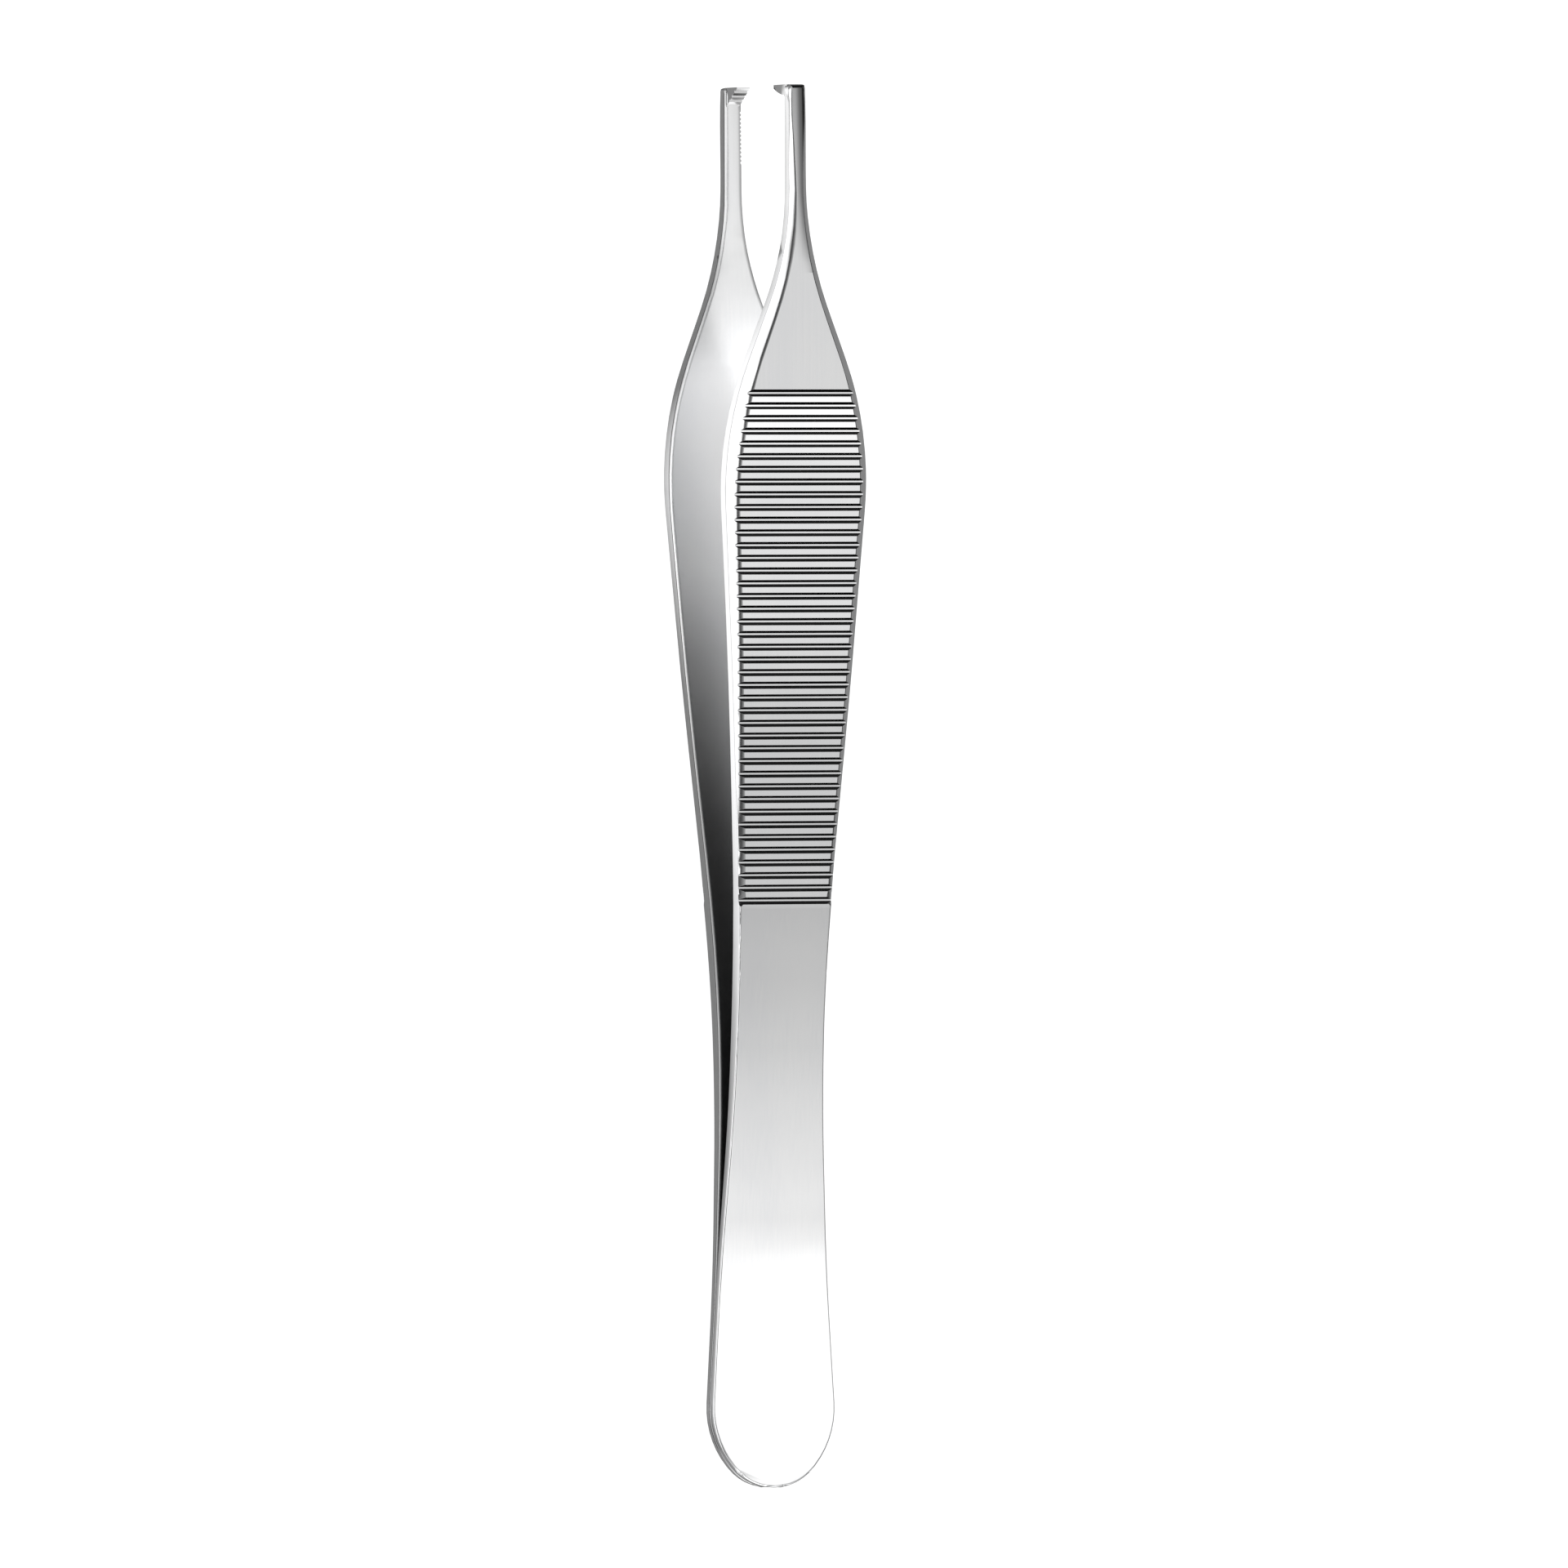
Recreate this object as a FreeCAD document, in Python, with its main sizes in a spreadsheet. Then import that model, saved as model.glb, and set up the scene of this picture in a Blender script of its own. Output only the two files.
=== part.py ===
import FreeCAD, Part
import math
import os

import Sketcher
from FreeCAD import Placement, Rotation, Vector

# Spring thumb forceps: two spring steel blades, laid inner face to inner face and welded at the butt.
# Each blade is drawn in its own frame: X runs from the butt to the tip, Y across the blade,
# and Z from the middle plane between the blades out through the blade's thickness.
doc = FreeCAD.newDocument("thumb_forceps")

# Driving sizes, in millimetres unless the note says otherwise
SIZES = [
    ("weld_length", 18.3, "butt end to the end of the weld"),
    ("handle_length", 22.7, "end of the weld to the waist"),
    ("arm_length", 29.0, "waist to the middle of the finger grip"),
    ("grip_length", 20.3, "middle of the finger grip to the shoulder"),
    ("neck_length", 15.7, "shoulder to the bend where the jaw begins"),
    ("jaw_length", 14.0, "that bend to the tip"),
    ("waist_gap", 1.42, "middle plane to the inner face at the waist"),
    ("grip_gap", 4.8, "the same at the middle of the grip"),
    ("shoulder_gap", 5.8, "the same at the shoulder"),
    ("neck_gap", 6.5, "the same where the jaw begins"),
    ("tip_gap", 6.5, "the same at the tip"),
    ("butt_thickness", 0.9, "blade thickness at the butt end"),
    ("weld_thickness", 0.9, "at the end of the weld"),
    ("waist_thickness", 1.6, "at the waist"),
    ("grip_thickness", 1.65, "at the middle of the grip"),
    ("shoulder_thickness", 2.35, "at the shoulder"),
    ("neck_thickness", 1.75, "where the jaw begins"),
    ("tip_thickness", 1.25, "at the tip"),
    ("weld_bend", 100.0, "bend radius where the blades part"),
    ("waist_bend", 200.0, "bend radius at the waist"),
    ("grip_bend", 300.0, "bend radius at the grip"),
    ("shoulder_bend", 80.0, "bend radius at the shoulder"),
    ("neck_bend", 60.0, "bend radius where the jaw begins"),
    ("tip_round", 0.4, "radius of the blade's outer edge at the tip"),
    ("butt_flat", 2.3, "half the width that the butt's end is drawn from"),
    ("butt_setback", 4.2, "butt end to the corner that the butt's sides are drawn from"),
    ("butt_reach", 5.83, "half-width at that corner"),
    ("waist_reach", 3.65, "half-width at the corner that the waist is drawn from"),
    ("waist_curve", 216.0, "outline radius at the waist"),
    ("shoulder_reach", 6.9, "half-width at the corner that the shoulder is drawn from"),
    ("shoulder_curve", 30.0, "outline radius at the shoulder"),
    ("neck_reach", 0.82, "half-width at the corner that the neck is drawn from"),
    ("neck_curve", 28.0, "outline radius at the neck"),
    ("tip_reach", 0.78, "half-width at the tip"),
    ("tip_corner", 0.4, "outline radius at the tip's corners"),
    ("groove_count", 41, "cross grooves on the finger grip, a number"),
    ("groove_pitch", 1.084, "from groove to groove along the face"),
    ("groove_past_shoulder", 3.3, "shoulder to the last groove"),
    ("groove_width", 0.62, "across a groove's mouth"),
    ("groove_floor", 0.14, "across a groove's floor"),
    ("groove_depth", 0.34, "depth of a groove"),
    ("edge_round", 0.22, "rounding of the outer face's edges along the handle"),
    ("seam_bevel_width", 0.38, "bevel of the inner face's edges, across that face"),
    ("seam_bevel_depth", 0.12, "the same, up the blade's side"),
    ("strip_width", 0.28, "narrow upper bevel of the outer edge, across the face"),
    ("strip_depth", 0.16, "the same, down the side"),
    ("jaw_strip", 0.1, "width of that bevel at the tip"),
    ("grip_bevel_width", 0.22, "broad lower bevel at the first groove, across the face"),
    ("grip_bevel_depth", 0.15, "the same, down the side"),
    ("shoulder_bevel_width", 0.79, "broad lower bevel at the shoulder, across the face"),
    ("shoulder_bevel_depth", 0.9, "the same, down the side"),
    ("neck_bevel_width", 0.42, "broad lower bevel where the jaw begins, across the face"),
    ("neck_bevel_depth", 0.45, "the same, down the side"),
    ("tip_bevel_width", 0.2, "broad lower bevel at the tip, across the face"),
    ("tip_bevel_depth", 0.3, "the same, down the side"),
    ("bevel_run_out", 3.2, "length over which the bevels fade below the grooves"),
    ("hook_seat", 0.4, "how far each hook's root stands in its blade"),
    ("claw_height", 2.92, "inner face to the upper hook's point"),
    ("claw_root", 1.25, "upper hook's length along the blade at its root"),
    ("claw_throat", 0.9, "the same where its hollow root ends"),
    ("claw_point", 0.3, "the same at its point"),
    ("claw_throat_height", 0.5, "inner face to the end of the hollow root"),
    ("claw_belly", 0.08, "bulge of the hook's underside beyond that"),
    ("claw_reach", 0.68, "upper hook's half-width at its root"),
    ("claw_point_reach", 0.5, "half-width of its point"),
    ("claw_cheek_height", 0.7, "inner face to where the hook's sides begin to draw in"),
    ("wedge_height", 2.28, "inner face to the lower hook's top"),
    ("wedge_root", 1.6, "lower hook's length along the blade at its root"),
    ("wedge_top", 0.12, "the same at its top"),
    ("wedge_reach", 0.6, "lower hook's half-width"),
    ("wedge_teeth", 4, "cross ridges on the lower hook's ramp, a number"),
    ("wedge_tooth_depth", 0.2, "depth of the notches between those ridges"),
    ("wedge_tooth_gap", 0.17, "width of those notches along the blade"),
    ("serration_count", 13, "fine notches along one inner edge of each jaw, a number"),
    ("serration_pitch", 0.357, "from notch to notch"),
    ("serration_mouth", 0.27, "a notch's width at the edge"),
    ("serration_depth", 0.14, "how far a notch reaches in from the edge"),
    ("serration_rise", 0.45, "how far it reaches up the side from the inner face"),
    ("serration_from_tip", 2.15, "tip to the first notch"),
]
sheet = doc.addObject("Spreadsheet::Sheet", "sizes")
for row, (alias, value, note) in enumerate(SIZES, 1):
    sheet.set(f"A{row}", note)
    sheet.set(f"B{row}", str(value))
    sheet.setAlias(f"B{row}", alias)
doc.recompute()


def size(alias):
    return float(sheet.get(alias))


# Places along the blade, from the butt, as formulas in the sheet's cells
WELD_END = "weld_length"
WAIST = WELD_END + " + handle_length"
GRIP = WAIST + " + arm_length"
SHOULDER = GRIP + " + grip_length"
NECK = SHOULDER + " + neck_length"
TIP = NECK + " + jaw_length"


def total(formula):
    """The value of a sum of cells, such as 'weld_length + handle_length'."""
    return sum(number(term.strip()) for term in formula.split("+"))


def number(term):
    try:
        return float(term)
    except ValueError:
        return size(term)


def bound(formula):
    """The same sum as an expression that a property of the document can be bound to."""
    terms = [term.strip() for term in formula.split("+")]
    return " + ".join(term if term.replace(".", "", 1).isdigit() else "sizes." + term for term in terms)


class Corner:
    """A corner of an outline, at two formulas, rounded by a radius that is a cell's name, a number or 0."""

    def __init__(self, across, up, radius=0):
        self.across = across
        self.up = up
        self.radius = radius
        self.point = Vector(total(across), total(up), 0)

    def length(self):
        return size(self.radius) if isinstance(self.radius, str) else self.radius


def tangent_length(before, corner, after, radius):
    turn = (corner - before).getAngle(after - corner)
    return radius * math.tan(turn / 2)


def radius_for(before, corner, after, length):
    turn = (corner - before).getAngle(after - corner)
    return length / math.tan(turn / 2)


def corner_arc(before, corner, after, radius):
    """The arc that rounds a corner, counter-clockwise as sketches keep them, and whether it runs backwards."""
    length = tangent_length(before, corner, after, radius)
    start = corner + (before - corner).normalize() * length
    end = corner + (after - corner).normalize() * length
    side = (corner - before).cross(after - corner).z
    away = Vector(-(corner - before).y, (corner - before).x, 0).normalize()
    centre = start + away * math.copysign(radius, side)
    first, last = (start, end) if side > 0 else (end, start)
    angles = [math.atan2((p - centre).y, (p - centre).x) for p in (first, last)]
    if angles[1] < angles[0]:
        angles[1] += 2 * math.pi
    circle = Part.Circle(centre, Vector(0, 0, 1), radius)
    return start, end, Part.ArcOfCircle(circle, *angles), side < 0


def draw_loop(sketch, corners):
    """A closed outline through rounded and sharp corners, tied to the sheet's cells."""
    count = len(corners)
    points = [c.point for c in corners]
    arcs = {}
    for i, corner in enumerate(corners):
        if corner.length() > 0:
            arcs[i] = corner_arc(points[i - 1], points[i], points[(i + 1) % count], corner.length())
    lines = []
    for i in range(count):
        j = (i + 1) % count
        start = arcs[i][1] if i in arcs else points[i]
        end = arcs[j][0] if j in arcs else points[j]
        lines.append(sketch.addGeometry(Part.LineSegment(start, end)))
    for i, corner in enumerate(corners):
        before, after = lines[i - 1], lines[i]
        if i in arcs:
            arc = sketch.addGeometry(arcs[i][2])
            first, last = (2, 1) if arcs[i][3] else (1, 2)
            sketch.addConstraint(Sketcher.Constraint("Tangent", before, 2, arc, first))
            sketch.addConstraint(Sketcher.Constraint("Tangent", arc, last, after, 1))
            if isinstance(corner.radius, str):
                place = sketch.addConstraint(Sketcher.Constraint("Radius", arc, corner.length()))
                sketch.setExpression(f"Constraints[{place}]", "sizes." + corner.radius)
            held = sketch.addGeometry(Part.Point(points[i]), True)
            sketch.addConstraint(Sketcher.Constraint("PointOnObject", held, 1, before))
            sketch.addConstraint(Sketcher.Constraint("PointOnObject", held, 1, after))
            end = 1
        else:
            sketch.addConstraint(Sketcher.Constraint("Coincident", before, 2, after, 1))
            held, end = after, 1
        tie(sketch, held, end, "DistanceX", corner.across, points[i].x)
        tie(sketch, held, end, "DistanceY", corner.up, points[i].y)


def tie(sketch, item, end, kind, formula, value):
    """Hold one end of a sketch's item at a distance from its origin that the sheet's cells give."""
    place = sketch.addConstraint(Sketcher.Constraint(kind, -1, 1, item, end, value))
    if not formula.replace("-", "").replace(".", "", 1).isdigit():
        sketch.setExpression(f"Constraints[{place}]", bound(formula))


def height_on(corners, place):
    """How far a rounded outline, given by its corners from butt to tip, lies from its axis at a place along X."""
    points = [c.point for c in corners]
    for i in range(1, len(corners) - 1):
        if corners[i].length() > 0:
            start, end, arc, backwards = corner_arc(points[i - 1], points[i], points[i + 1], corners[i].length())
            if start.x <= place <= end.x:
                rise = math.sqrt(arc.Radius ** 2 - (place - arc.Center.x) ** 2)
                return arc.Center.y + (rise if backwards else -rise)
    for before, after in zip(points, points[1:]):
        if before.x < after.x and before.x <= place <= after.x:
            return before.y + (after.y - before.y) * (place - before.x) / (after.x - before.x)
    return points[-1].y


# Corners of the inner and outer faces in side view, and of the outline from above
inner_face = [
    Corner("0", "0"),
    Corner(WELD_END, "0", "weld_bend"),
    Corner(WAIST, "waist_gap", "waist_bend"),
    Corner(GRIP, "grip_gap", "grip_bend"),
    Corner(SHOULDER, "shoulder_gap", "shoulder_bend"),
    Corner(NECK, "neck_gap", "neck_bend"),
    Corner(TIP, "tip_gap"),
]
outer_face = [
    Corner("0", "butt_thickness"),
    Corner(WELD_END, "weld_thickness", "weld_bend"),
    Corner(WAIST, "waist_gap + waist_thickness", "waist_bend"),
    Corner(GRIP, "grip_gap + grip_thickness", "grip_bend"),
    Corner(SHOULDER, "shoulder_gap + shoulder_thickness", "shoulder_bend"),
    Corner(NECK, "neck_gap + neck_thickness", "neck_bend"),
    Corner(TIP, "tip_gap + tip_thickness", "tip_round"),
]
outline = [
    Corner("0", "0"),
    Corner("0", "butt_flat"),
    Corner("butt_setback", "butt_reach"),
    Corner(WAIST, "waist_reach", "waist_curve"),
    Corner(SHOULDER, "shoulder_reach", "shoulder_curve"),
    Corner(NECK, "neck_reach", "neck_curve"),
    Corner(TIP, "tip_reach", "tip_corner"),
    Corner(TIP, "0"),
]

# The two arcs of the butt's rounded end take up the whole of the lines that they are drawn from
END_FILL = 0.96
apex, end_corner, side_corner, waist_corner = [c.point for c in outline[:4]]
end_run = END_FILL * end_corner.Length
side_run = END_FILL * (side_corner - end_corner).Length - end_run
outline[1].radius = radius_for(apex, end_corner, side_corner, end_run)
outline[2].radius = radius_for(end_corner, side_corner, waist_corner, side_run)

LENGTH = total(TIP)

# Cutting outlines reach past the metal by this much, and the blank is wider than the blade by as much
SPARE = 5.0
ACROSS = f"2 * (sizes.shoulder_reach + {SPARE})"


def plane(body, role):
    return next(f for f in body.Origin.OriginFeatures if f.Role == role)


def new_sketch(body, name, role, offset=0.0):
    sketch = body.newObject("Sketcher::SketchObject", name)
    sketch.AttachmentSupport = [(plane(body, role), "")]
    sketch.MapMode = "FlatFace"
    sketch.AttachmentOffset = Placement(Vector(0, 0, offset), Rotation())
    return sketch


def through(body, kind, name, sketch, width):
    """A pad or pocket whose width, an expression, lies half to each side of its sketch."""
    feature = body.newObject("PartDesign::" + kind, name)
    feature.Profile = sketch
    feature.SideType = "Symmetric"
    feature.setExpression("Length", width)
    feature.Refine = False
    sketch.Visibility = False
    body.Tip = feature
    return feature


def mirrored(body, name, originals):
    """The same cuts again on the other side of the blade's centre line."""
    feature = body.newObject("PartDesign::Mirrored", name)
    feature.Originals = originals
    feature.MirrorPlane = (plane(body, "XZ_Plane"), [""])
    body.Tip = feature
    return feature


def draw_polygon(sketch, points):
    corners = [Vector(x, y, 0) for x, y in points]
    for start, end in zip(corners, corners[1:] + corners[:1]):
        sketch.addGeometry(Part.LineSegment(start, end))


# Blade blank: the side view with its bends and its taper, cut to the outline
def forge_blank(body, name):
    side_view = new_sketch(body, name + "_side_view", "XZ_Plane")
    draw_loop(side_view, inner_face + outer_face[::-1])
    through(body, "Pad", name + "_blank", side_view, ACROSS)
    trim_view = new_sketch(body, name + "_trim_view", "XY_Plane")
    beyond = f"{TIP} + {SPARE}"
    clear = "butt_reach + shoulder_reach"
    outside = [Corner(beyond, "0"), Corner(beyond, clear), Corner(f"{-SPARE}", clear), Corner(f"{-SPARE}", "0")]
    draw_loop(trim_view, outline + outside)
    trim = through(body, "Pocket", name + "_trim", trim_view, "2 * " + ACROSS)
    mirrored(body, name + "_trim_both", [trim])


# Inner edges: a shallow bevel along both edges of the inner face
def long_edges(feature, face, end):
    """The names of a blade's edges up to a place along it that lie both on a face and on the outline."""
    near = size("seam_bevel_depth") / 4
    names = []
    for place, edge in enumerate(feature.Shape.Edges, 1):
        middle = edge.valueAt((edge.FirstParameter + edge.LastParameter) / 2)
        on_face = abs(middle.z - height_on(face, middle.x)) < near
        on_side = abs(abs(middle.y) - height_on(outline[:-1], middle.x)) < near
        if on_face and on_side and 0 < middle.x < end:
            names.append(f"Edge{place}")
    return names


def bevel_seam(body, name):
    doc.recompute()
    blank = body.Tip
    seam = body.newObject("PartDesign::Chamfer", name + "_seam_bevel")
    seam.Base = (blank, long_edges(blank, inner_face, LENGTH))
    seam.ChamferType = "Two distances"
    seam.setExpression("Size", "sizes.seam_bevel_depth")
    seam.setExpression("Size2", "sizes.seam_bevel_width")
    seam.Refine = False
    body.Tip = seam


# Edge bevels: a narrow strip beside the outer face and a broad bevel below it, along grip, neck and jaw
def last_groove():
    return total(SHOULDER) + size("groove_past_shoulder")


def first_groove():
    return last_groove() - (size("groove_count") - 1) * size("groove_pitch")


def between(place, places, values):
    """A value that runs straight from place to place, and stays level beyond the first and the last."""
    if place <= places[0]:
        return values[0]
    for before, after, low, high in zip(places, places[1:], values, values[1:]):
        if place <= after:
            return low + (high - low) * (place - before) / (after - before)
    return values[-1]


def bevel_section(place):
    """Four corners of the cut at a place along the blade; before the grip it is clear of the metal."""
    ends = [first_groove(), total(SHOULDER), total(NECK), LENGTH]
    strip_share = between(place, ends[2:], [1.0, size("jaw_strip") / size("strip_width")])
    strip_wide = size("strip_width") * strip_share
    strip_deep = size("strip_depth") * strip_share
    stations = ("grip", "shoulder", "neck", "tip")
    wide = between(place, ends, [size(station + "_bevel_width") for station in stations])
    deep = between(place, ends, [size(station + "_bevel_depth") for station in stations])
    fade = 2 * max(0.0, first_groove() - place) / size("bevel_run_out")
    clear = fade * (strip_wide + wide)
    edge = height_on(outline[:-1], place) + clear
    face = height_on(outer_face, place) + clear
    knee = Vector(edge - wide, face - strip_deep, 0)
    along_strip = Vector(-strip_wide, strip_deep, 0).normalize() * SPARE
    along_bevel = Vector(wide, -deep, 0).normalize() * SPARE
    high = knee + along_strip
    low = knee + along_bevel
    return [(high.x, high.y), (knee.x, knee.y), (low.x, low.y), (low.x, high.y)]


def bevel_edges(body, name):
    grip, shoulder, neck = total(GRIP), total(SHOULDER), total(NECK)
    step = size("groove_past_shoulder")
    near = size("bevel_run_out") / 4
    places = [first_groove() + near * i for i in range(-4, 5)]
    places += [(first_groove() + grip) / 2, grip, (grip + shoulder) / 2]
    places += [shoulder - step, shoulder, shoulder + step, (shoulder + neck) / 2]
    places += [neck - step, neck, neck + step, (neck + LENGTH) / 2, LENGTH, LENGTH + step]
    sections = []
    for i, place in enumerate(places):
        sketch = new_sketch(body, f"{name}_bevel_{i}", "YZ_Plane", place)
        draw_polygon(sketch, bevel_section(place))
        sketch.Visibility = False
        sections.append(sketch)
    cut = body.newObject("PartDesign::SubtractiveLoft", name + "_bevel")
    cut.Profile = sections[0]
    cut.Sections = sections[1:]
    body.Tip = cut
    mirrored(body, name + "_bevel_both", [cut])


# Handle: the outer face's edges are rounded from the butt up to where the bevels begin
def round_handle(body, name):
    doc.recompute()
    bevelled = body.Tip
    rounding = body.newObject("PartDesign::Fillet", name + "_rounding")
    rounding.Base = (bevelled, long_edges(bevelled, outer_face, total(WAIST)))
    rounding.setExpression("Radius", "sizes.edge_round")
    rounding.Refine = False
    body.Tip = rounding


# Finger grip: cross grooves with a narrow floor, square to the curved face
def cut_grooves(body, name):
    sketch = new_sketch(body, name + "_groove_view", "XZ_Plane")
    for i in range(int(size("groove_count"))):
        place = last_groove() - i * size("groove_pitch")
        draw_polygon(sketch, groove_corners(place))
    through(body, "Pocket", name + "_grooves", sketch, ACROSS)


# A cut's open side stands past the surface by this share of its depth
PROUD_SHARE = 0.2


def groove_corners(place):
    """A groove's four corners in side view, square to the outer face."""
    step = size("groove_floor")
    here = Vector(place, height_on(outer_face, place), 0)
    along = (Vector(place + step, height_on(outer_face, place + step), 0) - here).normalize()
    normal = Vector(-along.y, along.x, 0)
    half_mouth = size("groove_width") / 2
    half_floor = size("groove_floor") / 2
    deep = size("groove_depth")
    proud = PROUD_SHARE * deep
    spread = half_mouth + PROUD_SHARE * (half_mouth - half_floor)
    corners = [(-spread, proud), (-half_floor, -deep), (half_floor, -deep), (spread, proud)]
    return [tuple(here + along * a + normal * b)[:2] for a, b in corners]


# Jaws: a row of fine notches along one inner edge behind the hook
def serrate_jaw(body, name, side):
    sketch = new_sketch(body, name + "_serration_view", "XY_Plane", size("tip_gap"))
    reach = size("serration_depth")
    spread = (1 + PROUD_SHARE) * size("serration_mouth") / 2
    for i in range(int(size("serration_count"))):
        place = LENGTH - size("serration_from_tip") - i * size("serration_pitch")
        edge = height_on(outline[:-1], place)
        outer = side * (edge + PROUD_SHARE * reach)
        draw_polygon(sketch, [(place - spread, outer), (place, side * (edge - reach)), (place + spread, outer)])
    through(body, "Pocket", name + "_serrations", sketch, "2 * sizes.serration_rise")


# Upper hook: a claw with a hollow root and a slightly bulged underside, drawn in towards its point
QUARTER_SAG = 1 - math.sin(math.pi / 4)


def add_claw(body, name):
    sketch = new_sketch(body, name + "_claw_view", "XZ_Plane")
    face = size("tip_gap")
    seat = face + size("hook_seat")
    point = face - size("claw_height")
    end_top = Vector(LENGTH, seat, 0)
    end_low = Vector(LENGTH, point, 0)
    tip_low = Vector(LENGTH - size("claw_point"), point, 0)
    throat = Vector(LENGTH - size("claw_throat"), face - size("claw_throat_height"), 0)
    root_low = Vector(LENGTH - size("claw_root"), face, 0)
    root_top = Vector(root_low.x, seat, 0)
    belly = (tip_low + throat) / 2
    belly.x -= size("claw_belly")
    hollow = Vector(
        throat.x + (root_low.x - throat.x) * QUARTER_SAG,
        root_low.y + (throat.y - root_low.y) * QUARTER_SAG,
        0,
    )
    sketch.addGeometry(Part.LineSegment(end_top, end_low))
    sketch.addGeometry(Part.LineSegment(end_low, tip_low))
    sketch.addGeometry(Part.Arc(tip_low, belly, throat))
    sketch.addGeometry(Part.Arc(throat, hollow, root_low))
    sketch.addGeometry(Part.LineSegment(root_low, root_top))
    sketch.addGeometry(Part.LineSegment(root_top, end_top))
    through(body, "Pad", name + "_claw", sketch, "2 * sizes.claw_reach")
    sharpen = new_sketch(body, name + "_claw_front", "YZ_Plane", LENGTH)
    reach = size("claw_reach")
    narrow = size("claw_point_reach")
    cheek_top = face - size("claw_cheek_height")
    draw_polygon(sharpen, [
        (reach, cheek_top),
        (narrow, point),
        (narrow, point - SPARE),
        (reach + SPARE, point - SPARE),
        (reach + SPARE, cheek_top),
    ])
    cheek = through(body, "Pocket", name + "_claw_cheek", sharpen, "4 * sizes.claw_root")
    mirrored(body, name + "_claw_cheeks", [cheek])


# Lower hook: a steep wedge with cross ridges on its ramp, a notch below each of them
def add_wedge(body, name):
    sketch = new_sketch(body, name + "_wedge_view", "XZ_Plane")
    face = size("tip_gap")
    seat = face + size("hook_seat")
    low = Vector(LENGTH - size("wedge_root"), face, 0)
    high = Vector(LENGTH - size("wedge_top"), face - size("wedge_height"), 0)
    ramp = high - low
    inward = Vector(-ramp.y, ramp.x, 0).normalize() * size("wedge_tooth_depth")
    teeth = int(size("wedge_teeth"))
    mouth = ramp * (size("wedge_tooth_gap") / ramp.x)
    points = [(LENGTH, seat), (low.x, seat)]
    for i in range(teeth):
        start = low + ramp * (i / teeth)
        valley = start + mouth / 2 + inward
        end = start + mouth
        points += [(start.x, start.y), (valley.x, valley.y), (end.x, end.y)]
    points += [(high.x, high.y), (LENGTH, high.y)]
    draw_polygon(sketch, points)
    through(body, "Pad", name + "_wedge", sketch, "2 * sizes.wedge_reach")


def make_blade(name, add_hook, serrated_side):
    body = doc.addObject("PartDesign::Body", name)
    body.Label = name
    forge_blank(body, name)
    bevel_seam(body, name)
    bevel_edges(body, name)
    round_handle(body, name)
    add_hook(body, name)
    cut_grooves(body, name)
    serrate_jaw(body, name, serrated_side)
    return body


upper = make_blade("upper_blade", add_claw, -1)
lower = make_blade("lower_blade", add_wedge, 1)
doc.recompute()


# Rest: the forceps lies on the lower blade's outer face, on the butt's rounded edge and the shoulder
REST_STEPS = 400


def rest_slope():
    """The steepest line from the butt's outer edge to the outer face, which the table touches."""
    start = size("edge_round")
    height = size("butt_thickness")
    places = [start + (LENGTH - start) * i / REST_STEPS for i in range(1, REST_STEPS)]
    return max((height_on(outer_face, place) - height) / (place - start) for place in places)


tilt = math.degrees(math.atan(rest_slope()))
lift = Placement(Vector(0, 0, 0), Rotation(Vector(0, 1, 0), -tilt))
upper.Placement = lift
lower.Placement = lift.multiply(Placement(Vector(0, 0, 0), Rotation(Vector(1, 0, 0), 180)))
doc.recompute()
box = Part.Compound([upper.Shape, lower.Shape]).optimalBoundingBox(False, False)
move = Placement(Vector(-(box.XMin + box.XMax) / 2, -(box.YMin + box.YMax) / 2, -box.ZMin), Rotation())
upper.Placement = move.multiply(upper.Placement)
lower.Placement = move.multiply(lower.Placement)
doc.recompute()

for item in doc.Objects:
    if any(word in item.State for word in ("Invalid", "Error")):
        raise RuntimeError(f"{item.Name} failed: {item.State}")
for blade in (upper, lower):
    if blade.Shape.isNull() or not blade.Shape.isValid():
        raise RuntimeError(f"{blade.Label} is not a valid solid")

os.makedirs("parts", exist_ok=True)
for blade in (upper, lower):
    blade.Shape.exportStep(f"parts/{blade.Label}.step")
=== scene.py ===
import math

import bmesh
import bpy
from mathutils import Matrix, Vector


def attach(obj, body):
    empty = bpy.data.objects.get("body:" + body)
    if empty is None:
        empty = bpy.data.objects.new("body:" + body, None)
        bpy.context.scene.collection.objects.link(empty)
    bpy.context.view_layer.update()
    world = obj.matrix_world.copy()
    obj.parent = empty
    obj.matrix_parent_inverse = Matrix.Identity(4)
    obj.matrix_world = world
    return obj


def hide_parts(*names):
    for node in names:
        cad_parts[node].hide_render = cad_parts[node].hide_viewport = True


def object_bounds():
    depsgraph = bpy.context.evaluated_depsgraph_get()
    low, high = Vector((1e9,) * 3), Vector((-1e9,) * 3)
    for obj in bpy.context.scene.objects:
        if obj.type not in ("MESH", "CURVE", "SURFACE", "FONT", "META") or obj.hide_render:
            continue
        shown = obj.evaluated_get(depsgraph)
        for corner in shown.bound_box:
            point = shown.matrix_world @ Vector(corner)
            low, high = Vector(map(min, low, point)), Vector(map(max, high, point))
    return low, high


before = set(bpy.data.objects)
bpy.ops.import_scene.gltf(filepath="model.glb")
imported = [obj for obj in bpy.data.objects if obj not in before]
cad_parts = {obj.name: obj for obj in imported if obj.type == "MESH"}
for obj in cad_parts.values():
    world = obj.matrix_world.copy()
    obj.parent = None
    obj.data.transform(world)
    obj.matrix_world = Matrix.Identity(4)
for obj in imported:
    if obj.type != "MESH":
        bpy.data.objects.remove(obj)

cad_box = [list(corner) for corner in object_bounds()]

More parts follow.
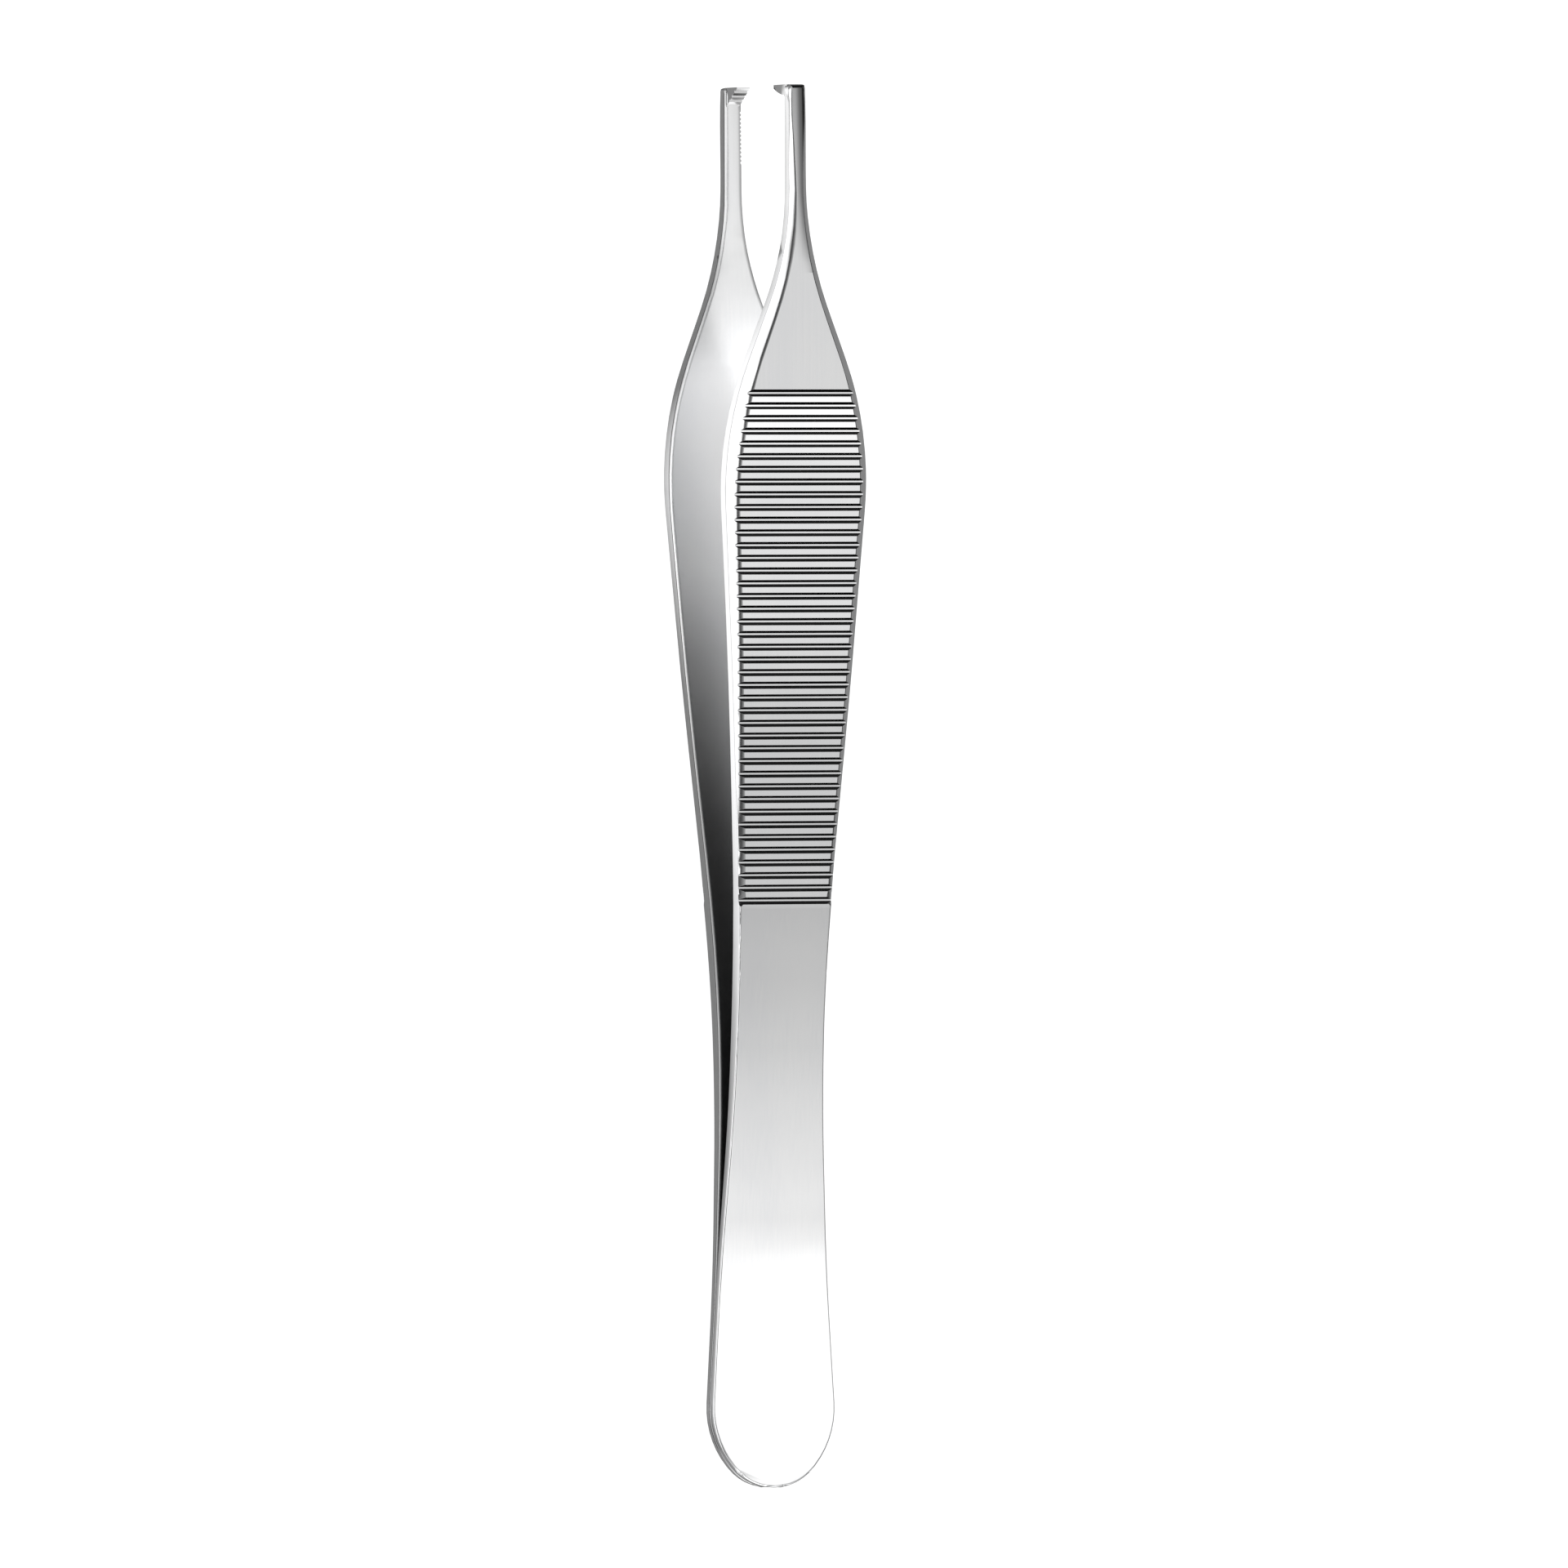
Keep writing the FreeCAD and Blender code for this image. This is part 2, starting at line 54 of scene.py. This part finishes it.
# Satin steel: both blades are forged from spring steel, ground, and brushed along their length
# to a satin finish that doesn't throw the theatre lamp back. The brushing leaves faint lines along
# the blade and smudges in the sheen. Each list pairs millimetres from the butt with a grey level.
# The grey levels of the steel's colour are painted shading: lighter and darker along the blade where
# light and shade fall, darker on the inner faces where the other blade shades them, darker on faces
# that look toward the tips, near black on the groove walls and wedge ridges that face the butt, and
# a thin dark line on the eased inner corners.
MM = 0.001
LEAN = math.radians(4.595)
LENGTH = 120.0 * MM
STEEL_WARM = (1.0, 1.0, 1.0, 1.0)
STEEL_COOL = (0.955, 0.96, 0.97, 1.0)
BLACK = (0.0, 0.0, 0.0, 1.0)
BRUSHED_LINES = (70.0, 6500.0, 6500.0)
FINE_GRAIN = (4200.0, 4200.0, 4200.0)
SMUDGES = (60.0, 140.0, 140.0)
BRUSHING_HEIGHT = 0.01 * MM
SIDE_LEVEL = 0.82
# Painted shade: how much the thin dark line on the eased inner corners darkens the steel.
RIM_PAINTED_SHADE = 0.92
OUTER_FACE = (0.9, 0.97, 0.0, 1.0)
INNER_FACE = (-0.97, -0.9, 1.0, 0.0)
RIM_INNER_END = (-0.8, -0.7, 0.0, 1.0)
RIM_SIDE_END = (-0.14, -0.07, 1.0, 0.0)
# Painted shade: these pick out the faces that look toward the butt and toward the tips.
FACING_BUTT = (-0.5, -0.4, 1.0, 0.0)
FACING_TIP = (0.45, 0.6, 0.0, 0.55)
PATCHES = (0.35, 0.65, 0.0, 1.0)
CROWNED_LENGTH = [(0.0, 0.0), (104.0, 0.0), (111.0, 1.0), (120.0, 1.0)]
# Painted shading along the outer face: lighter and darker as light and shade fall on it, darkest at the jaw.
OUTER_PAINTED_SHADING = [
    (0.0, 0.74), (13.0, 0.76), (18.0, 0.82), (25.0, 0.86), (29.5, 0.79), (33.7, 0.72), (38.0, 0.63), (46.0, 0.62),
    (49.8, 0.58), (50.3, 0.7), (93.2, 0.7), (93.8, 0.44), (105.0, 0.43), (110.0, 0.34), (120.0, 0.25),
]
# Painted shade on the inner face: darker towards the butt, where the other blade shades it, and a little darker
# again at the tip.
INNER_PAINTED_SHADING = [
    (0.0, 0.35), (50.0, 0.35), (57.5, 0.38), (71.5, 0.64), (78.5, 0.81), (85.5, 0.9), (92.4, 0.94), (96.6, 1.0),
    (100.8, 0.74), (106.0, 0.62), (120.0, 0.55),
]
# Painted shade: near black on the groove walls that look toward the butt.
BUTT_FACING_PAINTED_SHADING = [(0.0, 0.8), (49.3, 0.8), (49.4, 0.04), (94.5, 0.04), (94.6, 0.8), (118.2, 0.8)]


class Value:
    """A shader socket that reads like a number in a sum."""

    def __init__(self, finish, socket):
        self.finish = finish
        self.socket = socket

    def math(self, operation, other, swapped=False):
        pair = (other, self) if swapped else (self, other)
        return self.finish.node("ShaderNodeMath", {"operation": operation}, pair)

    def __add__(self, other):
        return self.math("ADD", other)

    def __radd__(self, other):
        return self.math("ADD", other)

    def __sub__(self, other):
        return self.math("SUBTRACT", other)

    def __rsub__(self, other):
        return self.math("SUBTRACT", other, True)

    def __mul__(self, other):
        return self.math("MULTIPLY", other)

    def __rmul__(self, other):
        return self.math("MULTIPLY", other)


class Finish:
    """The shader nodes of a material, or of the studio around the forceps."""

    def __init__(self, owner):
        owner.use_nodes = True
        self.tree = owner.node_tree

    def link(self, value, socket):
        if isinstance(value, Value):
            self.tree.links.new(value.socket, socket)
        else:
            socket.default_value = value

    def node(self, kind, settings, values, output=0):
        made = self.tree.nodes.new(kind)
        for name, setting in settings.items():
            if name == "stops":
                self.stops(made.color_ramp.elements, setting)
            else:
                setattr(made, name, setting)
        pairs = values.items() if isinstance(values, dict) else enumerate(values)
        for socket, value in pairs:
            self.link(value, made.inputs[socket])
        return Value(self, made.outputs[output])

    def stops(self, elements, levels):
        """Give a ramp its grey levels, each at a place from 0 to 1."""
        elements.remove(elements[-1])
        for i, (place, level) in enumerate(levels):
            stop = elements[0] if i == 0 else elements.new(place)
            stop.position = place
            stop.color = (level, level, level, 1.0)

    def along(self, place, levels):
        """A level that follows the blade, from lists of millimetres from the butt and levels."""
        stops = [(mm * MM / LENGTH, level) for mm, level in levels]
        x = self.node("ShaderNodeSeparateXYZ", {}, {"Vector": place})
        return self.node("ShaderNodeValToRGB", {"stops": stops}, {"Fac": x * (1 / LENGTH) + 0.5})

    def noise(self, place, stretch, detail):
        """Noise between 0 and 1 at a place, drawn out by the stretch along each axis."""
        drawn = self.node("ShaderNodeMapping", {}, {"Vector": place, "Scale": stretch})
        return self.node("ShaderNodeTexNoise", {}, {"Vector": drawn, "Scale": 1.0, "Detail": detail})

    def shift(self, value, low, high, to_low, to_high):
        values = {"Value": value, "From Min": low, "From Max": high, "To Min": to_low, "To Max": to_high}
        return self.node("ShaderNodeMapRange", {"interpolation_type": "SMOOTHSTEP"}, values)

    def blend(self, amount, first, second):
        """A colour between two others."""
        return self.node("ShaderNodeMix", {"data_type": "RGBA"}, {0: amount, 6: first, 7: second}, 2)

    def feed(self, name, value):
        self.link(value, self.tree.nodes["Principled BSDF"].inputs[name])


def satin_steel(name, out, tip_painted_shading):
    """Brushed steel with painted shading, for a blade whose outer face looks up, where out is 1, or down, where
    it is -1.
    """
    material = bpy.data.materials.new(name)
    steel = Finish(material)
    place = steel.node("ShaderNodeTexCoord", {}, {}, 3)
    blade = steel.node("ShaderNodeMapping", {}, {"Vector": place, "Rotation": (0.0, LEAN, 0.0)})
    brushing = steel.noise(blade, BRUSHED_LINES, 3.0)
    grain = steel.noise(blade, FINE_GRAIN, 2.0)
    smudge = steel.noise(blade, SMUDGES, 4.0)
    facing = steel.node("ShaderNodeNewGeometry", {}, {}, 1)
    outward = steel.node("ShaderNodeSeparateXYZ", {}, {"Vector": facing}, 2) * out
    forward = steel.node("ShaderNodeSeparateXYZ", {}, {"Vector": facing}, 0)
    outer = steel.shift(outward, *OUTER_FACE)
    inner = steel.shift(outward, *INNER_FACE)
    # Painted shading: the outer and inner faces take their levels from the painted lists along the blade, and the
    # sides keep one plain level.
    level = outer * steel.along(blade, OUTER_PAINTED_SHADING) + inner * steel.along(blade, INNER_PAINTED_SHADING)
    level = level + (1 - outer - inner) * SIDE_LEVEL
    # Painted shade: a thin dark line where the sides turn into the inner faces.
    rim_shade_mask = steel.shift(outward, *RIM_INNER_END) * steel.shift(outward, *RIM_SIDE_END)
    # Painted shade: faces that look toward the tips are darkened by up to about half; faces that look toward the
    # butt take their own painted levels instead.
    back = steel.shift(forward, *FACING_BUTT)
    fore = steel.shift(forward, *FACING_TIP)
    level = level * (1 - rim_shade_mask * RIM_PAINTED_SHADE) * (1 - fore) * (1 - back)
    level = level + back * steel.along(blade, BUTT_FACING_PAINTED_SHADING + tip_painted_shading)
    tone = steel.shift(brushing * 0.3 + smudge * 0.7, *PATCHES)
    tint = steel.blend(tone, STEEL_COOL, STEEL_WARM)
    steel.feed("Metallic", 1.0)
    steel.feed("Base Color", steel.blend(level, BLACK, tint))
    steel.feed("Roughness", 0.1 + smudge * 0.04 + grain * 0.03 + inner * 0.1)
    fine = brushing * 0.6 + grain * 0.4
    faint = {"Strength": 0.04, "Distance": BRUSHING_HEIGHT, "Height": fine}
    brushed = steel.node("ShaderNodeBump", {}, faint)
    side = steel.node("ShaderNodeSeparateXYZ", {}, {"Vector": place}, 1)
    off_crown = side - CROWN_LINE
    jaw = steel.along(blade, CROWNED_LENGTH)
    swell = off_crown * off_crown * (-0.5 / CROWN_RADIUS) * outer * jaw
    crowned = {"Strength": 1.0, "Distance": 1.0, "Height": swell, "Normal": brushed}
    steel.feed("Normal", steel.node("ShaderNodeBump", {}, crowned))
    return material


# Lower blade: one forged strip of spring steel with a grooved finger grip, slim jaw and a ridged
# wedge at its tip. Its edges were eased on a felt wheel after grinding, so none of them is keen.
CROWN_RADIUS = 1.2 * MM
CROWN_LINE = 0.33 * MM
EDGE_EASE = 0.05 * MM
EASED_LENGTH = 0.3 * MM
LENGTHWISE = 0.6
CORNER = math.radians(35.0)
BUTT_END = 12.0 * MM
SEAM = 0.001 * MM
FLAT_WITHIN = math.radians(24.0)


def chosen(piece):
    """Make one piece the only selected and active object."""
    bpy.ops.object.select_all(action="DESELECT")
    piece.select_set(True)
    bpy.context.view_layer.objects.active = piece


def felt_wheel_reaches(edge):
    """Whether a corner runs along the blade or round the butt's end, and not across it."""
    if len(edge.link_faces) != 2 or edge.calc_face_angle() < CORNER:
        return False
    run = edge.verts[1].co - edge.verts[0].co
    past_butt = edge.verts[0].co.x - cad_box[0][0]
    if past_butt < BUTT_END:
        return True
    return abs(run.x) > LENGTHWISE * run.length and run.length > EASED_LENGTH


def dressed_blade(node, finish):
    """A copy of a blade with its triangles joined up, smooth over its bends and crisp at its edges."""
    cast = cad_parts[node]
    piece = cast.copy()
    piece.data = cast.data.copy()
    piece.name = node + "_eased"
    bpy.context.scene.collection.objects.link(piece)
    chosen(piece)
    bpy.ops.object.mode_set(mode="EDIT")
    bpy.ops.mesh.select_all(action="SELECT")
    bpy.ops.mesh.customdata_custom_splitnormals_clear()
    bpy.ops.mesh.remove_doubles(threshold=SEAM)
    bpy.ops.mesh.select_mode(type="EDGE")
    bpy.ops.mesh.select_all(action="DESELECT")
    for edge in bmesh.from_edit_mesh(piece.data).edges:
        edge.select_set(felt_wheel_reaches(edge))
    bpy.ops.mesh.bevel(offset=EDGE_EASE, segments=3, affect="EDGES", clamp_overlap=False)
    bpy.ops.object.mode_set(mode="OBJECT")
    bpy.ops.object.shade_smooth_by_angle(angle=FLAT_WITHIN)
    level = piece.modifiers.new("level", "WEIGHTED_NORMAL")
    level.keep_sharp = True
    level.weight = 100
    bpy.ops.object.modifier_apply(modifier="level")
    piece.data.materials.clear()
    piece.data.materials.append(finish)
    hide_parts(node)
    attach(piece, "root")


# Painted highlight and shade: black and white stripes, in millimetres from the butt, across the butt-facing faces
# of the lower blade's ridged wedge.
PAINTED_RIDGE_STRIPES = [
    (118.37, 0.04), (118.57, 0.04), (118.6, 1.0), (118.74, 1.0), (118.77, 0.04), (118.94, 0.04), (118.97, 1.0),
    (119.11, 1.0), (119.14, 0.04), (119.31, 0.04), (119.34, 1.0), (119.48, 1.0), (119.51, 0.04), (119.68, 0.04),
    (119.71, 1.0), (120.0, 1.0),
]
dressed_blade("lower_blade", satin_steel("satin_steel_lower", -1.0, PAINTED_RIDGE_STRIPES))

# Upper blade: the same forging turned over, with a pointed claw at its tip. It is welded to the
# lower one over the butt, and springs away from it beyond the weld.
dressed_blade("upper_blade", satin_steel("satin_steel_upper", 1.0, [(120.0, 0.8)]))

# Table: a plain white board under the forceps. To the camera it glows plain white, so no shadow shows.
# To reflections it glows in painted strips along the blades, with a dark one under them, which the
# steel mirrors as painted reflections.
TABLE_SIDE = 6.0
TABLE_TONE = (0.3, 0.3, 0.3, 1.0)
TABLE_SHADE = (0.28, 0.28, 0.28, 1.0)
GLOW_WIDTH = 40.0 * MM
GLOW = [
    (0.0, 0.1), (0.14, 0.1), (0.19, 0.9), (0.34, 0.95), (0.39, 0.15), (0.65, 0.12), (0.69, 0.75), (0.73, 1.1),
    (0.85, 1.1), (1.0, 0.5),
]
bpy.ops.object.select_all(action="DESELECT")
bpy.ops.mesh.primitive_plane_add(size=TABLE_SIDE)
table = bpy.context.object
table.name = "table"
board_material = bpy.data.materials.new("white_board")
board = Finish(board_material)
board_place = board.node("ShaderNodeTexCoord", {}, {}, 3)
board_grain = board.noise(board_place, (900.0, 900.0, 900.0), 2.0)
board.feed("Base Color", board.blend(board_grain, TABLE_SHADE, TABLE_TONE))
board.feed("Roughness", 0.9)
board.feed("Specular IOR Level", 0.1)
aside_of_forceps = board.node("ShaderNodeSeparateXYZ", {}, {"Vector": board_place}, 1)
# Painted glow: strips that only reflections see, and plain white where the camera looks.
glow = board.node("ShaderNodeValToRGB", {"stops": GLOW}, {"Fac": aside_of_forceps * (1 / GLOW_WIDTH) + 0.5})
board_seen = board.node("ShaderNodeLightPath", {}, {}, 0)
board.feed("Emission Color", glow * (1 - board_seen) + board_seen)
board.feed("Emission Strength", 1.0)
table.data.materials.append(board_material)

# Light: a white softbox overhead that ends a little towards the tips and to the sides, with a low
# window on the left. Each list gives how bright the room is in a direction, in the blades' frame,
# for reflections only: it is graded for the photograph's angle, and dark past the tips.
ALONG = [
    (-1.0, 1.6), (-0.85, 2.2), (-0.7, 1.0), (-0.58, 0.7), (-0.4, 0.5), (-0.3, 0.6), (-0.217, 0.84),
    (-0.171, 0.97), (-0.09, 1.35), (-0.03, 1.6), (0.05, 1.6), (0.12, 1.45), (0.2, 1.0), (0.3, 0.7), (0.4, 0.35),
    (0.5, 0.04), (0.58, 0.01), (1.0, 0.01),
]
ACROSS = [
    (-1.0, 0.25), (-0.92, 0.3), (-0.7, 0.7), (-0.5, 0.95), (-0.39, 1.0), (0.0, 1.05), (0.2, 1.15), (0.27, 1.0),
    (0.36, 0.7), (0.46, 0.6), (0.6, 0.5), (0.7, 0.15), (0.78, 0.05), (1.0, 0.05),
]
UPWARD = [(-1.0, 0.03), (0.04, 0.03), (0.14, 0.6), (0.24, 1.0), (1.0, 1.0)]
WINDOW_ASIDE = [(-1.0, 0.0), (0.74, 0.0), (0.82, 1.5), (1.0, 1.5)]
WINDOW_HEIGHT = [(-1.0, 0.0), (0.04, 0.0), (0.12, 1.0), (0.42, 1.0), (0.52, 0.0), (1.0, 0.0)]
scene = bpy.context.scene
scene.view_settings.view_transform = "Standard"
studio = bpy.data.worlds.new("studio")
scene.world = studio
room = Finish(studio)
direction = room.node("ShaderNodeTexCoord", {}, {}, 0)
lean = room.node("ShaderNodeVectorRotate", {"rotation_type": "Y_AXIS"}, {"Vector": direction, "Angle": LEAN})


def toward(axis, levels):
    """The room's level from one direction's lists, for an axis numbered from 0 to 2."""
    part = room.node("ShaderNodeSeparateXYZ", {}, {"Vector": lean}, axis)
    stops = [((place + 1.0) / 2, level) for place, level in levels]
    return room.node("ShaderNodeValToRGB", {"stops": stops}, {"Fac": part * 0.5 + 0.5})


softbox = toward(0, ALONG) * toward(1, ACROSS) * toward(2, UPWARD)
window = toward(1, WINDOW_ASIDE) * toward(2, WINDOW_HEIGHT)
brightness = softbox + window
seen = room.node("ShaderNodeLightPath", {}, {}, 0)
room.link(brightness * (1 - seen) + seen, room.tree.nodes["Background"].inputs["Strength"])
room.link((1.0, 1.0, 1.0, 1.0), room.tree.nodes["Background"].inputs["Color"])

# Camera: it looks down on the blades from their left side, 23 degrees off the square, with the
# tips at the top of the picture. The picture's side spans 134.3 mm at the forceps.
PICTURE = 1920.0
PIXELS_PER_MM = 14.30
BUTT_ROW = 1822.0
AXIS_COLUMN = 938.9
PICTURE_LEAN = math.radians(0.35)
OFF_SQUARE = math.radians(23.0)
LENS = 700.0
SENSOR = 36.0
low = Vector(cad_box[0])
blade_line = Vector((math.cos(LEAN), 0.0, math.sin(LEAN)))
blade_normal = Vector((-math.sin(LEAN), 0.0, math.cos(LEAN)))
across = Vector((0.0, 1.0, 0.0))
to_camera = math.cos(OFF_SQUARE) * blade_normal + math.sin(OFF_SQUARE) * across
right = blade_line.cross(to_camera)
butt = Vector((low.x, 0.0, 0.88 * MM))
half_picture = PICTURE / 2
up_the_blade = (BUTT_ROW - half_picture) / PIXELS_PER_MM * MM
aside = (half_picture - AXIS_COLUMN) / PIXELS_PER_MM * MM
aim = butt + up_the_blade * blade_line + aside * right
turned = Matrix.Rotation(-PICTURE_LEAN, 3, to_camera)
picture_up = turned @ blade_line
picture_right = turned @ right
distance = (PICTURE / PIXELS_PER_MM * MM / 2) / (SENSOR / 2 / LENS)
camera_data = bpy.data.cameras.new("camera")
camera_data.lens = LENS
camera_data.sensor_width = SENSOR
camera_data.clip_start = 0.01
camera_data.clip_end = 20.0
camera = bpy.data.objects.new("camera", camera_data)
scene.collection.objects.link(camera)
camera.rotation_mode = "QUATERNION"
frame_axes = Matrix((picture_right, picture_up, to_camera)).transposed()
camera.rotation_quaternion = frame_axes.to_quaternion()
camera.location = aim + distance * to_camera
scene.camera = camera
